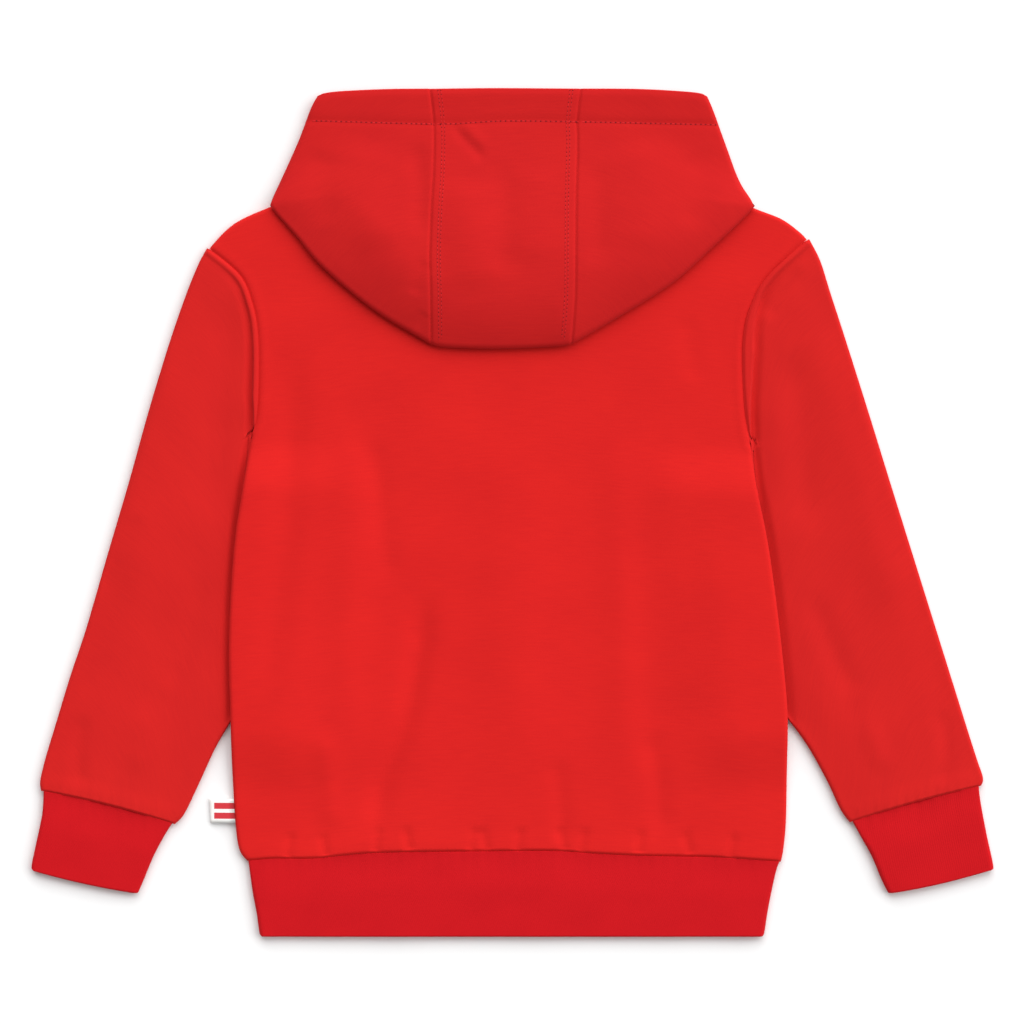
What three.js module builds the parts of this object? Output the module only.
// Kids hoodie, laid flat on a table with its back upward.
// Millimetres. X runs across the garment, Y runs from the waistband up to the hood, Z is up.
// The underside of the garment rests on z = 0, and the origin is the middle of its footprint.
// Every cloth piece is a wall: an outer skin of points, and an inner skin one wall thickness below it.
import * as THREE from 'three';
import { mergeVertices } from 'three/addons/utils/BufferGeometryUtils.js';

// Driving dimensions
const terryWall = 2.0;          // brushed-back terry
const ribWall = 2.3;            // rib knit, doubled
const hemWall = 2.8;            // turned hem round the face opening
const hemBand = 22;             // width of that hem
const seamGap = 0.36;           // clear distance between two sewn pieces
const bodyHeight = 5.4;         // front and back panel lying on each other
const sleeveHeight = 5.4;       // a flattened sleeve
const ribHeight = 6.0;          // a flattened cuff or waistband
const hoodOnBody = bodyHeight + 0.3;   // lowest level of the hood where it lies on the back
const hoodPlump = 8.4;          // from the underside of the folded hood to its top
const foldPlump = 5.6;          // the same beside its fold
const plumpSlope = 62;          // distance from the fold over which it gets plump
const leastHood = 6.4;          // least height of the hood over its lower layer
const leastRise = 6.0;          // least height of its round edge at the fold
const hoodTopEdge = 6.6;        // height of the hood at its face edge
const tuckRise = sleeveHeight + 0.5;   // how far the body's side is lifted by the sleeve under it
const labelWall = 0.8;          // woven tape
const labelHeight = 2.2;        // the tape folded double

// Short tables. Each row is one section or one point, and the columns are named.
const table = (columns, rows) => rows.map(
  (row) => Object.fromEntries(columns.map((name, k) => [name, row[k]])));

// Body, from the waist seam up: the left and the right edge of each section.
// Rows up to "underarm" are the side seams, and the rows after it are the armholes.
const bodySections = table(['leftX', 'leftY', 'rightX', 'rightY'], [
  [-185.8, -244.3, 188.0, -245.0],
  [-191.4, -236.0, 189.8, -236.0],
  [-194.2, -216.0, 191.6, -216.0],
  [-196.2, -180.0, 192.2, -180.0],
  [-197.4, -140.0, 192.4, -140.0],
  [-198.4, -100.0, 188.9, -100.0],
  [-197.2, -60.0, 184.2, -60.0],
  [-194.2, -20.0, 178.4, -20.0],
  [-189.4, 12.0, 171.9, 12.0],
  [-185.6, 36.0, 168.5, 34.0],
  [-182.8, 52.0, 166.6, 48.0],
  [-178.8, 68.0, 163.4, 66.0],
  [-177.5, 98.0, 161.2, 98.0],
  [-178.2, 126.0, 162.1, 126.0],
  [-182.0, 146.0, 167.4, 146.0],
  [-190.6, 165.6, 178.5, 165.0],
  [-212.4, 184.4, 206.2, 190.8],
]);
const underarmRow = 10;

// Waist seam, left to right.
const waistSeam = table(['x', 'y'], [
  [-185.8, -244.3], [-165.5, -242.6], [-139.6, -242.6], [-101.8, -239.0], [-60.0, -238.0],
  [-17.8, -237.6], [29.1, -237.4], [57.8, -239.2], [94.9, -240.8], [145.3, -241.9], [188.0, -245.0],
]);

// Shoulder seams, from the sleeve to the neck.
const leftShoulder = table(['x', 'y'], [
  [-212.4, 184.4], [-201.5, 196.4], [-190.0, 204.8], [-169.0, 214.0], [-130.0, 229.6], [-89.2, 246.4],
]);
const rightShoulder = table(['x', 'y'], [
  [206.2, 190.8], [200.5, 196.6], [188.0, 205.4], [168.4, 213.2], [130.0, 229.4], [89.2, 246.4],
]);

// Half necklines, from the shoulder to the middle. The right half mirrors the left one.
const backNeckHalf = table(['x', 'y'], [[-89.2, 246.4], [-72.0, 235.6], [-40.0, 228.6], [0, 226.8]]);
const frontNeckHalf = table(['x', 'y'], [
  [-89.2, 246.4], [-82.5, 225.0], [-70.0, 207.5], [-44.0, 190.0], [-20.0, 183.2], [0, 181.3],
]);

// Sleeves, from the armhole to the cuff seam: the outer fold and the underarm seam of each section.
// The underarm seam runs beside the body at first and then under it.
const leftSleeveSections = table(['outerX', 'outerY', 'innerX', 'innerY'], [
  [-214.0, 184.8, -183.2, 52.1],
  [-219.8, 174.0, -186.2, 41.0],
  [-228.0, 154.0, -187.2, 29.0],
  [-239.7, 120.4, -187.4, 10.0],
  [-254.5, 72.0, -173.5, -22.0],
  [-269.1, 19.6, -168.5, -62.0],
  [-284.0, -31.0, -172.0, -92.0],
  [-298.5, -81.2, -181.0, -119.0],
  [-309.7, -114.8, -197.7, -147.4],
  [-319.9, -148.4, -208.2, -165.6],
  [-327.0, -172.0, -219.0, -189.0],
  [-330.8, -188.0, -229.6, -211.0],
  [-330.2, -195.2, -236.4, -218.6],
]);
const rightSleeveSections = table(['outerX', 'outerY', 'innerX', 'innerY'], [
  [207.9, 191.2, 167.0, 48.1],
  [215.6, 176.0, 169.7, 36.0],
  [222.6, 154.0, 170.3, 25.0],
  [233.5, 120.4, 170.4, 8.0],
  [248.8, 72.0, 159.0, -24.0],
  [265.0, 19.6, 156.0, -62.0],
  [280.8, -31.0, 161.6, -92.0],
  [296.5, -81.2, 172.6, -119.0],
  [307.0, -114.8, 192.9, -144.9],
  [317.5, -148.4, 206.9, -164.2],
  [325.0, -172.0, 220.2, -188.0],
  [329.6, -186.0, 229.6, -208.0],
  [328.4, -191.6, 236.2, -217.2],
]);

// Cuff seams and cuffs: the outer and the inner edge, from the seam to the open end.
const leftCuffSections = table(['outerX', 'outerY', 'innerX', 'innerY'], [
  [-328.6, -195.8, -238.6, -219.6],
  [-329.4, -211.4, -244.4, -227.8],
  [-333.2, -230.0, -251.6, -241.6],
  [-336.8, -247.8, -258.4, -258.0],
  [-334.8, -250.8, -262.4, -267.2],
]);
const rightCuffSections = table(['outerX', 'outerY', 'innerX', 'innerY'], [
  [326.9, -192.4, 238.6, -218.3],
  [327.9, -203.0, 244.4, -228.0],
  [332.2, -226.0, 251.6, -241.0],
  [336.8, -247.8, 258.4, -257.2],
  [334.6, -250.0, 263.4, -267.2],
]);
const cuffWidth = 82;
const openEndBow = 1.2;         // how far the open end of a cuff bows out
const leftCuffSag = 2.0;        // how far the cuff seam bows towards the hand
const rightCuffSag = 1.6;

// Waistband: the two side edges, from just under the waist seam to the hem.
const waistGap = 0.7;           // clear distance between the body and the waistband
const waistInset = 0.0025;      // share of the waist seam that the band leaves free at each side
const bandWidth = 366;
const bandSections = table(['leftX', 'leftY', 'rightX', 'rightY'], [
  [-184.2, -250.0, 185.0, -250.4],
  [-182.0, -266.0, 181.4, -266.0],
  [-179.0, -282.0, 178.4, -282.0],
  [-177.2, -294.6, 176.4, -294.6],
  [-175.0, -296.8, 174.4, -296.8],
]);

// Hood: the fold that rings it, from the face edge down to the middle strip.
const leftHoodFold = table(['x', 'y'], [
  [-136.1, 291.9], [-141.6, 281.6], [-149.6, 260.4], [-158.4, 240.6], [-168.6, 217.4], [-167.4, 211.4],
  [-151.0, 192.6], [-132.6, 170.8], [-96.2, 140.7], [-56.8, 117.0],
]);
const rightHoodFold = table(['x', 'y'], [
  [136.2, 291.5], [141.6, 278.6], [150.2, 254.8], [158.6, 232.4], [167.8, 216.6], [166.6, 210.6],
  [137.6, 182.7], [110.3, 158.9], [71.1, 134.4], [41.4, 117.4],
]);
const centreHoodFold = table(['x', 'y'], [[-56.8, 117.0], [-45.0, 115.0], [-9.4, 114.1], [30.0, 115.6], [41.4, 117.4]]);
const leftHoodSeam = table(['x', 'y'], [
  [-56.8, 117.0], [-57.0, 150.5], [-57.7, 177.8], [-56.7, 211.4], [-55.1, 240.0], [-54.9, 270.0], [-57.7, 296.1],
]);
const rightHoodSeam = table(['x', 'y'], [
  [41.4, 117.4], [43.8, 150.5], [44.2, 190.0], [44.5, 219.8], [45.5, 258.3], [45.2, 273.0], [47.8, 296.2],
]);
const leftFaceEdge = table(['x', 'y'], [[-136.1, 291.9], [-124.0, 294.2], [-89.9, 295.8], [-57.7, 296.1]]);
const centreFaceEdge = table(['x', 'y'], [[-57.7, 296.1], [-8.7, 296.6], [47.8, 296.2]]);
const rightFaceEdge = table(['x', 'y'], [[136.2, 291.5], [126.0, 293.8], [90.0, 295.9], [47.8, 296.2]]);

// The hood's neck seam on the left, from the middle strip to the front: along the back neckline,
// round the end of the shoulder seam and down, then along the front neckline on the floor.
const hoodNeckSeam = table(['x', 'y', 'z'], [
  [-52.0, 230.6, hoodOnBody], [-70.0, 235.2, hoodOnBody], [-81.0, 241.8, hoodOnBody - 0.1],
  [-88.4, 251.4, hoodOnBody - 0.7], [-80.6, 250.4, 2.6], [-77.0, 241.0, 0.3], [-79.6, 227.0, 0],
  [-67.2, 210.8, 0], [-42.6, 193.2, 0], [-19.4, 186.0, 0], [-0.5, 184.2, 0],
]);
const hoodNeckTurn = 0.235;     // share of that seam that lies on the back neckline

// Largest soft folds: a trough has a negative height. Each follows two or three points.
const crease = (height, width, ...points) => ({ height, width, points: points.map(([x, y]) => ({ x, y })) });
const backFolds = [
  crease(-1.0, 13, [-152, 100], [-149, -6], [-163, -90], [-173, -128]),
  crease(-1.2, 11, [-61, -70], [-75, -146], [-93, -195], [-96, -216]),
  crease(-0.7, 12, [131, 30], [131, -110]),
  crease(1.1, 17, [-112, 40], [-116, -170]),
  crease(1.0, 26, [0, 40], [4, -180]),
  crease(0.9, 15, [76, 30], [78, -170]),
];
const leftSleeveFolds = [crease(-1.3, 7, [-191, 150], [-194, 99], [-202, 40]), crease(0.8, 14, [-240, 60], [-262, -40])];
const rightSleeveFolds = [crease(-1.4, 6, [190, 160], [180, 147], [172, 130], [170, 96]),
  crease(0.8, 14, [226, 70], [252, -30])];

// Small mathematics
const mix = (a, b, share) => a + (b - a) * share;
const smooth = (value) => {
  const s = Math.min(1, Math.max(0, value));
  return s * s * (3 - 2 * s);
};
const flat = (row) => new THREE.Vector2(row.x, row.y);
const spline = (rows) => new THREE.SplineCurve(rows.map(flat));
const column = (rows, xName, yName) => spline(rows.map((row) => ({ x: row[xName], y: row[yName] })));
const mirrored = (rows) => rows.map((row) => ({ ...row, x: -row.x }));

// A curve as a function of a share from 0 to 1, by even steps along its length.
const along = (rows) => {
  const curve = spline(rows);
  curve.arcLengthDivisions = 400;
  return (share) => curve.getPointAt(Math.min(1, Math.max(0, share)));
};
// Several curves end to end, each up to its own share.
const chained = (parts) => (share) => {
  let start = 0;
  for (const { until, curve } of parts) {
    if (share <= until + 1e-9) return curve((share - start) / (until - start));
    start = until;
  }
  return parts.at(-1).curve(1);
};
// A patch between four edge curves that share their corners.
const patch = (bottom, top, left, right) => (u, v) => {
  const p = bottom(u).multiplyScalar(1 - v).addScaledVector(top(u), v);
  p.addScaledVector(left(v), 1 - u).addScaledVector(right(v), u);
  p.addScaledVector(bottom(0), -(1 - u) * (1 - v)).addScaledVector(bottom(1), -u * (1 - v));
  return p.addScaledVector(top(0), -(1 - u) * v).addScaledVector(top(1), -u * v);
};
// A polyline of a curve, and the nearest point of some polylines to a point.
const polyline = (curve, steps, from = 0, to = 1) => Array.from(
  { length: steps + 1 }, (_, k) => curve(mix(from, to, k / steps)));
function nearest(lines, p) {
  let best = { distance: Infinity, x: 0, y: 0, alongX: 1, alongY: 0 };
  for (const line of lines) {
    for (let k = 0; k + 1 < line.length; k += 1) {
      const a = line[k];
      const dx = line[k + 1].x - a.x;
      const dy = line[k + 1].y - a.y;
      const squared = dx * dx + dy * dy || 1;
      const share = Math.min(1, Math.max(0, ((p.x - a.x) * dx + (p.y - a.y) * dy) / squared));
      const x = a.x + dx * share;
      const y = a.y + dy * share;
      const distance = Math.hypot(p.x - x, p.y - y);
      if (distance < best.distance) best = { distance, x, y, alongX: dx, alongY: dy };
    }
  }
  return best;
}
const foldHeight = (folds, p) => folds.reduce((sum, fold) => {
  const near = nearest([fold.points], p);
  return sum + fold.height * Math.exp(-((near.distance / fold.width) ** 2));
}, 0);

// One point of a flattened form whose edges are round. side is +1 for the upper layer and -1 for
// the lower one. rims are the edges where the two layers meet, and middle is a point inside.
const onRim = 0.08;
function layerPoint({ p, side, low, high, rims, middle, wall, seam = 0 }) {
  const radius = (high - low) / 2;
  const centre = (high + low) / 2;
  const rim = nearest(rims, p);
  const cosine = Math.max(0, 1 - rim.distance / radius);
  const sine = Math.sqrt(Math.max(0, 1 - cosine * cosine));
  let out = new THREE.Vector2(rim.x - p.x, rim.y - p.y);
  if (rim.distance < onRim) {
    out = new THREE.Vector2(-rim.alongY, rim.alongX);
    if (out.dot(new THREE.Vector2(p.x - middle.x, p.y - middle.y)) < 0) out.negate();
  }
  out.normalize();
  const lift = side * Math.max(seam, radius * sine);
  const outer = new THREE.Vector3(p.x, p.y, centre + lift);
  const normal = new THREE.Vector3(out.x * cosine, out.y * cosine, side * sine);
  return { outer, inner: outer.clone().addScaledVector(normal, -wall) };
}

// A closed solid from a grid of outer and inner points. A ring closes on itself across its columns.
function wallSolid(grid, ring = false) {
  const rows = grid.length;
  const columns = grid[0].length;
  const positions = [];
  const triangle = (a, b, c) => [a, b, c].forEach((p) => positions.push(p.x, p.y, p.z));
  const quad = (a, b, c, d) => {
    triangle(a, b, c);
    triangle(a, c, d);
  };
  const last = ring ? columns : columns - 1;
  for (let i = 0; i + 1 < rows; i += 1) {
    for (let j = 0; j < last; j += 1) {
      const k = (j + 1) % columns;
      quad(grid[i][j].outer, grid[i][k].outer, grid[i + 1][k].outer, grid[i + 1][j].outer);
      quad(grid[i + 1][j].inner, grid[i + 1][k].inner, grid[i][k].inner, grid[i][j].inner);
    }
  }
  for (let j = 0; j < last; j += 1) {
    const k = (j + 1) % columns;
    quad(grid[0][k].outer, grid[0][j].outer, grid[0][j].inner, grid[0][k].inner);
    quad(grid[rows - 1][j].outer, grid[rows - 1][k].outer, grid[rows - 1][k].inner, grid[rows - 1][j].inner);
  }
  for (let i = 0; !ring && i + 1 < rows; i += 1) {
    quad(grid[i][0].outer, grid[i + 1][0].outer, grid[i + 1][0].inner, grid[i][0].inner);
    const j = columns - 1;
    quad(grid[i + 1][j].outer, grid[i][j].outer, grid[i][j].inner, grid[i + 1][j].inner);
  }
  return closed(positions);
}

// Merges shared points, drops triangles without area and turns the faces outwards.
function closed(positions) {
  const loose = new THREE.BufferGeometry();
  loose.setAttribute('position', new THREE.Float32BufferAttribute(positions, 3));
  const merged = mergeVertices(loose, 1e-3);
  const at = merged.getAttribute('position');
  const corner = [0, 1, 2].map(() => new THREE.Vector3());
  const index = [];
  let volume = 0;
  for (let t = 0; t < merged.index.count; t += 3) {
    const ids = [0, 1, 2].map((k) => merged.index.getX(t + k));
    if (new Set(ids).size < 3) continue;
    corner.forEach((c, k) => c.fromBufferAttribute(at, ids[k]));
    volume += corner[0].dot(corner[1].clone().cross(corner[2])) / 6;
    index.push(...ids);
  }
  if (volume < 0) {
    for (let t = 0; t < index.length; t += 3) [index[t], index[t + 1]] = [index[t + 1], index[t]];
  }
  merged.setIndex(index);
  merged.computeVertexNormals();
  return merged;
}

// Distances from a round edge at which a section has a point.
const roundSteps = (radius) => [0, 30, 60, 90].map((degrees) => radius * (1 - Math.cos(degrees * Math.PI / 180)));
// Shares across a strip: close at both round edges and even between them.
function acrossShares(width, radius, count) {
  const near = roundSteps(radius).map((distance) => distance / width);
  const start = near.at(-1);
  const even = Array.from({ length: count - 1 }, (_, k) => mix(start, 1 - start, (k + 1) / count));
  return [...near, ...even, ...near.map((share) => 1 - share).reverse()];
}

// Steps of the polylines that stand for a rim: long seams, shoulders, rib edges and the hood's fold
const seamSteps = 260;
const shoulderSteps = 80;
const ribSteps = 60;
const foldSteps = 420;

// Body panels
const lastRow = bodySections.length - 1;
const underarmShare = underarmRow / lastRow;
// Shares of the rows, in steps of one table row: even up the sides, and close at both armhole ends.
const sideShares = bodySections.slice(0, underarmRow).map((_, k) => k / lastRow);
const armholeSteps = [0, 0.07, 0.18, 1, 1.75, 2.5, 3.25, 3.9, 4.4, 4.9, 5.4, 5.87, 5.95, 5.986, 6];
const armholeShares = armholeSteps.map((step) => (underarmRow + step) / lastRow);
const bodyLeft = column(bodySections, 'leftX', 'leftY');
const bodyRight = column(bodySections, 'rightX', 'rightY');
const bodyMiddle = { x: 0, y: 50 };
const sideRims = [bodyLeft, bodyRight].map((curve) => polyline((v) => curve.getPoint(v), seamSteps, 0, underarmShare));
const shoulderRims = [leftShoulder, rightShoulder].map((rows) => polyline(along(rows), shoulderSteps));
const bodyWidth = 378;
const bodyColumns = 15;         // even columns between the two round sides
const neckStart = 0.29;         // shares of the top edge between which the neckline runs
const neckEnd = 0.72;
const foldFade = 16;            // folds of the back fade out this near to a side seam
const tuckWidth = 34;           // the sides are fully lifted this far in
const liftSlope = 66;           // and come down over this much of the body's width
const riseLength = 40;          // the lift starts at the underarm and is complete this far below
const fallStartY = -151;        // it ends where the sleeve comes out from under the body
const fallLength = 48;

// How far the body is lifted where it lies on the tucked part of a sleeve.
function bodyLift(p) {
  const rim = nearest(sideRims, p);
  const underarmY = p.x < 0 ? bodySections[underarmRow].leftY : bodySections[underarmRow].rightY;
  const rising = smooth((underarmY - p.y) / riseLength);
  const falling = 1 - smooth((fallStartY - p.y) / fallLength);
  return tuckRise * rising * falling * (1 - smooth((rim.distance - tuckWidth) / liftSlope));
}
function panelSolid(side, neckHalf) {
  const neck = [...neckHalf, ...mirrored(neckHalf).reverse().slice(1)];
  const top = chained([
    { until: neckStart, curve: along(leftShoulder) },
    { until: neckEnd, curve: along(neck) },
    { until: 1, curve: along([...rightShoulder].reverse()) },
  ]);
  const surface = patch(along(waistSeam), top, (v) => bodyLeft.getPoint(v), (v) => bodyRight.getPoint(v));
  const rows = [...sideShares, ...armholeShares];
  const columns = [...acrossShares(bodyWidth, bodyHeight / 2, bodyColumns), neckStart, neckEnd].sort((a, b) => a - b);
  const grid = rows.map((v) => columns.map((u) => {
    const p = surface(u, v);
    const low = bodyLift(p);
    const relief = side > 0 ? foldHeight(backFolds, p) * smooth(nearest(sideRims, p).distance / foldFade) : 0;
    return layerPoint({ p, side, low, high: low + bodyHeight + relief,
      rims: [...sideRims, ...shoulderRims], middle: bodyMiddle, wall: terryWall, seam: seamGap / 2 });
  }));
  return wallSolid(grid);
}

// A flattened tube: sections between an outer and an inner edge. relief lifts its upper layer.
function tubeSolid({ surface, rows, across, height, wall, rims, relief = () => 0 }) {
  const under = across.slice(1, -1).reverse();
  const grid = rows.map((v) => {
    const middle = surface(0.5, v);
    const at = (u, side) => {
      const p = surface(u, v);
      const raised = side > 0 ? relief(p) : 0;
      return layerPoint({ p, side, low: 0, high: height + raised, rims, middle, wall });
    };
    return [...across.map((u) => at(u, 1)), ...under.map((u) => at(u, -1))];
  });
  return wallSolid(grid, true);
}

// Sleeves
const sleeveRows = 16;
const headCorner = 0.03;        // share of the sleeve head over which it turns to the sleeve's own corner
const headStep = 0.01;          // share between the points that give the head's direction
const sagSideways = 0.25;       // the cuff seam sags a little sideways as well
function sleeveSolid(sections, armholeSide, cuffSag, folds) {
  const outerEdge = column(sections, 'outerX', 'outerY');
  const innerEdge = column(sections, 'innerX', 'innerY');
  const outerAt = (v) => outerEdge.getPoint(v);
  const innerAt = (v) => innerEdge.getPoint(v);
  const bodyEdge = armholeSide < 0 ? bodyLeft : bodyRight;
  const armhole = (u) => bodyEdge.getPoint(mix(1, underarmShare, u));
  const shiftStart = outerAt(0).sub(armhole(0));
  const shiftEnd = innerAt(0).sub(armhole(1));
  const head = (u) => {
    const p = armhole(u);
    const before = armhole(Math.max(0, u - headStep));
    const after = armhole(Math.min(1, u + headStep));
    const outward = new THREE.Vector2(-(after.y - before.y), after.x - before.x).normalize();
    if (outward.x * armholeSide < 0) outward.negate();
    const ends = Math.max(1 - u / headCorner, 1 - (1 - u) / headCorner, 0);
    const corner = u < 0.5 ? shiftStart : shiftEnd;
    return p.addScaledVector(outward, seamGap * (1 - ends)).addScaledVector(corner, ends);
  };
  const cuffEnd = (u) => {
    const p = outerAt(1).lerp(innerAt(1), u);
    return p.add(new THREE.Vector2(armholeSide * sagSideways, 1).multiplyScalar(cuffSag * 4 * u * (1 - u)));
  };
  const surface = patch(head, cuffEnd, outerAt, innerAt);
  const rims = [outerAt, innerAt].map((curve) => polyline(curve, seamSteps));
  const rows = Array.from({ length: sleeveRows + 1 }, (_, k) => k / sleeveRows);
  const relief = (p) => foldHeight(folds, p);
  const across = armholeShares.map((v) => (1 - v) / (1 - underarmShare)).reverse();
  return tubeSolid({ surface, rows, across, height: sleeveHeight, wall: terryWall, rims, relief });
}

// Rib pieces. The ribs are too fine to show from a step away, so these walls are plain.
const cuffRows = [0, 0.25, 0.5, 0.75, 0.9, 1];
const bandRows = [0, 0.2, 0.4, 0.6, 0.8, 1];
const cuffColumns = 10;
const bandColumns = 26;
function cuffSolid(sections, sag) {
  const outerEdge = column(sections, 'outerX', 'outerY');
  const innerEdge = column(sections, 'innerX', 'innerY');
  const outerAt = (v) => outerEdge.getPoint(v);
  const innerAt = (v) => innerEdge.getPoint(v);
  const bowed = (v, amount) => (u) => {
    const p = outerAt(v).lerp(innerAt(v), u);
    p.y += amount * 4 * u * (1 - u);
    return p;
  };
  const surface = patch(bowed(0, sag), bowed(1, -openEndBow), outerAt, innerAt);
  const rims = [outerAt, innerAt].map((curve) => polyline(curve, ribSteps));
  const across = acrossShares(cuffWidth, ribHeight / 2, cuffColumns);
  return tubeSolid({ surface, rows: cuffRows, across, height: ribHeight, wall: ribWall, rims });
}
function bandSolid() {
  const seam = along(waistSeam);
  const topEdge = (u) => {
    const p = seam(mix(waistInset, 1 - waistInset, u));
    p.y -= waistGap;
    return p;
  };
  const edge = (xName, yName, start) => spline([start, ...bandSections.map((row) => ({ x: row[xName], y: row[yName] }))]);
  const leftEdge = edge('leftX', 'leftY', topEdge(0));
  const rightEdge = edge('rightX', 'rightY', topEdge(1));
  const leftAt = (v) => leftEdge.getPoint(v);
  const rightAt = (v) => rightEdge.getPoint(v);
  const hemEdge = (u) => leftAt(1).lerp(rightAt(1), u);
  const surface = patch(topEdge, hemEdge, leftAt, rightAt);
  const rims = [leftAt, rightAt].map((curve) => polyline(curve, ribSteps));
  const across = acrossShares(bandWidth, ribHeight / 2, bandColumns);
  return tubeSolid({ surface, rows: bandRows, across, height: ribHeight, wall: ribWall, rims });
}

// Hood
const foldRims = [leftHoodFold, centreHoodFold, rightHoodFold].map((rows) => polyline(along(rows), foldSteps));
const hoodMiddle = { x: -6, y: 215 };
const overBackY = 276;          // above this the hood lies flat, in front of the neck
const overBackRun = 54;         // below it the hood rises to its full height over this length
const foldCorner = { x: -169, y: 213.6 };   // where the fold is widest, at the end of the shoulder line
const beyondShoulder = { drop: 4.4, run: 26, fromX: 60, overX: 50 };   // the hood is lower past that line
const shelfRun = 10;            // beside the shoulder the hood's underside comes down over this length
const shelfBeside = (p) => hoodOnBody * (1 - smooth(nearest(shoulderRims, p).distance / shelfRun));
// Height of the top of the hood: plump over the back, lower towards the fold, the face edge and the sides.
function hoodHigh(p) {
  const overBack = smooth((overBackY - p.y) / overBackRun);
  const plump = mix(foldPlump, hoodPlump, smooth(nearest(foldRims, p).distance / plumpSlope));
  const shoulder = leftShoulder.at(-1);
  const slope = (shoulder.y - foldCorner.y) / (shoulder.x - foldCorner.x);
  const line = shoulder.y - slope * (Math.abs(p.x) - Math.abs(shoulder.x));
  const sideways = smooth((Math.abs(p.x) - beyondShoulder.fromX) / beyondShoulder.overX);
  const outside = Math.max(0, p.y - line) * sideways;
  return hoodTopEdge + (hoodOnBody + plump - hoodTopEdge) * overBack
    - beyondShoulder.drop * smooth(outside / beyondShoulder.run) * overBack;
}
const underHood = 0.66;         // share of the lower layer at which it starts to follow its neck seam
const neckPull = [{ x: 84, y: 262 }, { x: 25, y: 280 }];   // the lower layer bows towards these points
const foldRound = 4.2;          // width of the round edge at the fold
const narrowStrip = 14;         // where the upper layer is narrower, its columns draw together
const faceShare = 0.9;          // from this share on, the rows follow the face edge
const hoodSideLength = 276;     // from the middle strip round to the face edge
// One hood side, from its neck seam round the fold to the middle strip. Shares run from the
// middle strip to the face edge.
function hoodSideSolid(fold, seamRows, faceRows, hand) {
  const foldCurve = along([...fold].reverse());
  const cornerRow = fold.findIndex((row) => Math.abs(row.x) === Math.max(...fold.map((r) => Math.abs(r.x))));
  const corner = fold[cornerRow];
  const foldLine = polyline(foldCurve, foldSteps);
  const cornerShare = foldLine.reduce((best, q, k) => (
    Math.hypot(q.x - corner.x, q.y - corner.y) < Math.hypot(foldLine[best].x - corner.x, foldLine[best].y - corner.y)
      ? k : best), 0) / foldSteps;
  const seamCurve = along(seamRows);
  const faceCurve = along(faceRows);
  const neckCurve = new THREE.CatmullRomCurve3(
    hoodNeckSeam.map((row) => new THREE.Vector3(-hand * row.x, row.y, row.z)));
  const lowY = foldCurve(0).y;
  const highY = foldCurve(1).y;
  const hemStart = 1 - hemBand / hoodSideLength;
  const rows = [
    ...[0, 0.08, 0.19, 0.31, 0.45, 0.59, 0.72, 0.84, 0.95].map((share) => share * cornerShare),
    ...[0, 0.11, 0.2, 0.36, 0.58, 0.8, 0.98, 1].map((share) => mix(cornerShare, hemStart, share)),
    mix(hemStart, 1, 0.6), 1,
  ];
  const common = { rims: foldRims, middle: hoodMiddle };
  const upperShares = (length) => {
    const scale = Math.min(1, length / narrowStrip);
    const near = roundSteps(foldRound).map((d) => Math.min(0.5, (d * scale) / Math.max(length, 1e-6)));
    return [...near.slice(1), 0.14, 0.3, 0.5, 0.75, 1].map((x, k, all) => Math.max(x, k ? all[k - 1] : x));
  };
  const grid = rows.map((s) => {
    const wall = s >= hemStart - 1e-6 ? hemWall : terryWall;
    const start = foldCurve(s);
    const seamPoint = seamCurve((start.y - lowY) / (highY - lowY));
    seamPoint.x += hand * seamGap / 2;
    const neckShare = s < cornerShare
      ? hoodNeckTurn * (s / cornerShare)
      : mix(hoodNeckTurn, 1, (s - cornerShare) / (1 - cornerShare));
    const neck = neckCurve.getPointAt(neckShare);
    const past = Math.sqrt(smooth((s - cornerShare) / (1 - cornerShare)));
    const control = new THREE.Vector2(hand * mix(neckPull[0].x, neckPull[1].x, past), mix(neckPull[0].y, neckPull[1].y, past));
    if (s <= cornerShare) control.copy(start).lerp(neck, 0.5);
    const under = [0.06, 0.1, 0.18, 0.32, 0.5, 0.66, 0.82, 0.92, 1].map((w) => {
      const p = start.clone().multiplyScalar((1 - w) ** 2).addScaledVector(control, 2 * w * (1 - w));
      p.addScaledVector(new THREE.Vector2(neck.x, neck.y), w * w);
      const shelf = s <= cornerShare ? hoodOnBody : shelfBeside(p);
      const low = mix(shelf, neck.z, smooth((w - underHood) / (1 - underHood)));
      return layerPoint({ ...common, p, side: -1, low, high: Math.max(hoodHigh(p), low + leastHood), wall });
    });
    const shelf = s <= cornerShare ? hoodOnBody : shelfBeside(start);
    const atFold = layerPoint({ ...common, p: start, side: 1, low: shelf, high: hoodHigh(start), wall });
    const upper = upperShares(start.distanceTo(seamPoint)).map((w) => {
      const p = start.clone().lerp(seamPoint, w);
      if (s > faceShare) {
        const face = faceCurve(w);
        p.y += (face.y - mix(faceCurve(0).y, faceCurve(1).y, w)) * smooth((s - faceShare) / (1 - faceShare));
      }
      const shelfHere = mix(shelf, hoodOnBody, smooth(w * 4));
      const high = hoodHigh(p);
      return layerPoint({ ...common, p, side: 1, low: Math.min(shelfHere, high - leastRise), high, wall });
    });
    return [...under.reverse(), atFold, ...upper];
  });
  return wallSolid(grid);
}
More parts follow.
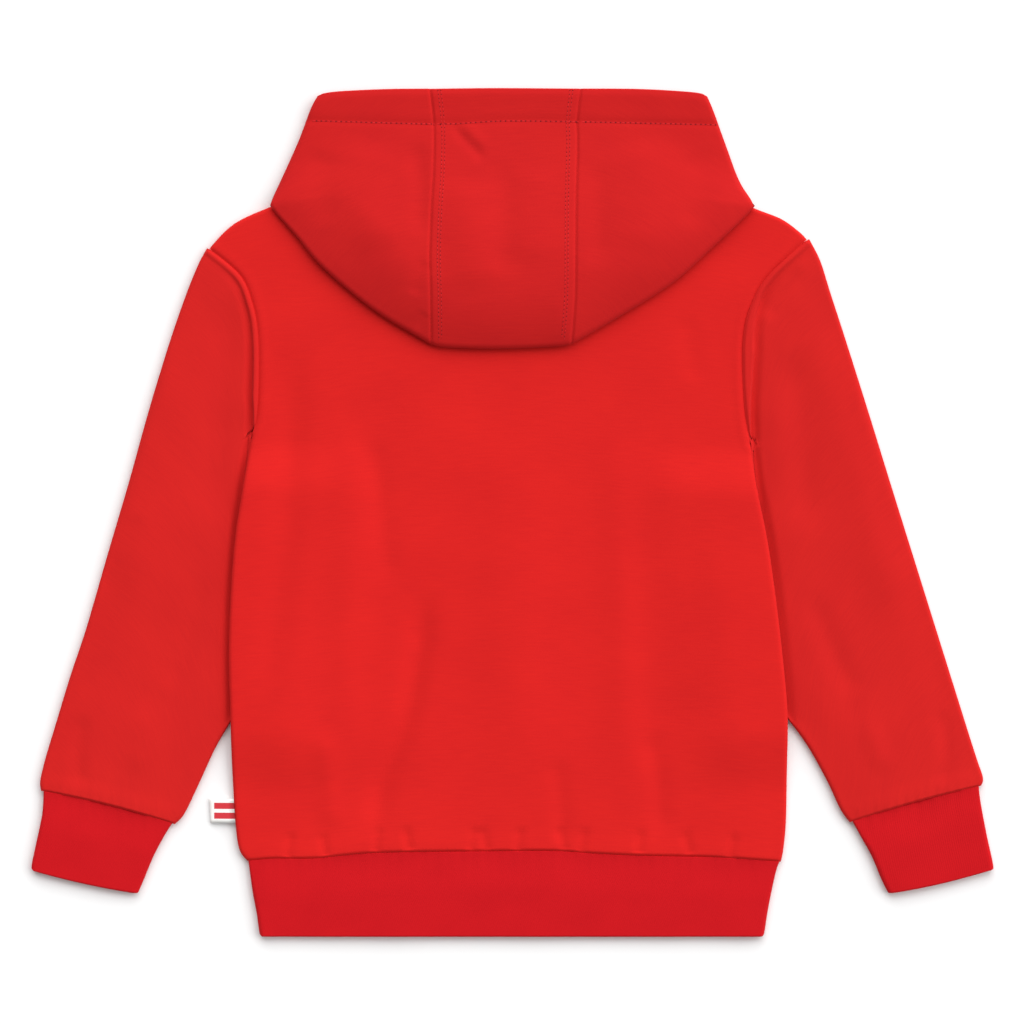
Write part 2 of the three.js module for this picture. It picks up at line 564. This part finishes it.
// The hood's middle strip, from the back neckline down under the fold and up to the face edge.
const stripNeck = { leftX: -52, rightX: 47, y: 230.6, bow: 3.2 };
const stripInset = 0.006;       // share of its width that the strip leaves free at each seam
const stripLength = 179;        // from the fold to the face edge
const stripUnder = 113;         // from the neckline to the fold
const stripRound = 3.7;         // width of its round edge at the fold
function hoodCentreSolid() {
  const neckEdge = (c) => new THREE.Vector2(
    mix(stripNeck.leftX, stripNeck.rightX, c), stripNeck.y - stripNeck.bow * 4 * c * (1 - c));
  const bottom = along(centreHoodFold);
  const face = along(centreFaceEdge);
  const leftUnder = (h) => bottom(0).lerp(neckEdge(0), h);
  const rightUnder = (h) => bottom(1).lerp(neckEdge(1), h);
  const upper = patch(bottom, face, along(leftHoodSeam), along(rightHoodSeam));
  const lower = patch(bottom, neckEdge, leftUnder, rightUnder);
  const columns = [0, 0.17, 0.34, 0.5, 0.66, 0.83, 1].map((c) => mix(stripInset, 1 - stripInset, c));
  const hemStart = 1 - hemBand / stripLength;
  const near = roundSteps(stripRound).slice(1);
  const lowerShares = [1, 0.82, 0.62, 0.42, 0.22, 0.1, ...near.map((d) => d / stripUnder).reverse()];
  const upperShares = [...near.map((d) => d / stripLength), 0.06, 0.15, 0.28, 0.42, 0.56, 0.7, 0.8,
    hemStart - 0.01, hemStart, 0.95, 1];
  const common = { rims: foldRims, middle: hoodMiddle };
  const grid = [
    ...lowerShares.map((h) => columns.map((c) => {
      const p = lower(c, h);
      return layerPoint({ ...common, p, side: -1, low: hoodOnBody, high: hoodHigh(p), wall: terryWall });
    })),
    columns.map((c) => {
      const p = upper(c, 0);
      return layerPoint({ ...common, p, side: 1, low: hoodOnBody, high: hoodHigh(p), wall: terryWall });
    }),
    ...upperShares.map((h) => columns.map((c) => {
      const p = upper(c, h);
      const high = hoodHigh(p);
      const wall = h >= hemStart ? hemWall : terryWall;
      return layerPoint({ ...common, p, side: 1, low: Math.min(hoodOnBody, high - leastRise), high, wall });
    })),
  ];
  return wallSolid(grid);
}

// The folded woven loop in the side seam: its path runs out along the lower layer and back.
const labelFree = { topX: -212.4, topY: -200.9, bottomX: -211.7, bottomY: -217.7 };
const labelGap = 0.41;          // clear distance between the loop and the side seam
const labelRest = 0.1;          // the free end of the loop hangs this far above the table
function labelSolid() {
  const rootAt = (y) => nearest([sideRims[0]], { x: labelFree.topX, y }).x - labelGap;
  const columns = [0, 0.5, 1];
  const path = [[0, -1], [0.3, -1], [0.6, -1], [0.9, -1], [0.97, -0.7], [1, 0], [0.97, 0.7], [0.9, 1], [0.6, 1],
    [0.3, 1], [0, 1]];
  const grid = columns.map((c) => path.map(([out, side]) => {
    const y = mix(labelFree.bottomY, labelFree.topY, c);
    const root = rootAt(y);
    const free = mix(labelFree.bottomX, labelFree.topX, c);
    const middleZ = mix(bodyHeight / 2, labelHeight / 2 + labelRest, smooth(out));
    const outer = new THREE.Vector3(mix(root, free, out), y, middleZ + side * labelHeight / 2);
    const innerOut = Math.min(out, 1 - labelWall / Math.abs(free - root));
    const inner = new THREE.Vector3(mix(root, free, innerOut), y, middleZ + side * (labelHeight / 2 - labelWall));
    return { outer, inner };
  }));
  return wallSolid(grid);
}

// Materials
const terry = new THREE.MeshStandardMaterial({ color: '#de2a28', roughness: 0.9, metalness: 0 });
const rib = new THREE.MeshStandardMaterial({ color: '#cf1f26', roughness: 0.88, metalness: 0 });
const woven = new THREE.MeshStandardMaterial({ color: '#f4f3ef', roughness: 0.7, metalness: 0 });

const hoodie = new THREE.Group();
hoodie.name = 'kids_hoodie';
function add(name, geometry, material) {
  const mesh = new THREE.Mesh(geometry, material.clone());
  mesh.name = name;
  hoodie.add(mesh);
}
add('front_panel', panelSolid(-1, frontNeckHalf), terry);
add('back_panel', panelSolid(1, backNeckHalf), terry);
add('left_sleeve', sleeveSolid(leftSleeveSections, -1, leftCuffSag, leftSleeveFolds), terry);
add('right_sleeve', sleeveSolid(rightSleeveSections, 1, rightCuffSag, rightSleeveFolds), terry);
add('left_cuff', cuffSolid(leftCuffSections, leftCuffSag), rib);
add('right_cuff', cuffSolid(rightCuffSections, rightCuffSag), rib);
add('waistband', bandSolid(), rib);
add('hood_left_panel', hoodSideSolid(leftHoodFold, leftHoodSeam, leftFaceEdge, -1), terry);
add('hood_centre_panel', hoodCentreSolid(), terry);
add('hood_right_panel', hoodSideSolid(rightHoodFold, rightHoodSeam, rightFaceEdge, 1), terry);
add('side_label', labelSolid(), woven);

export default hoodie;
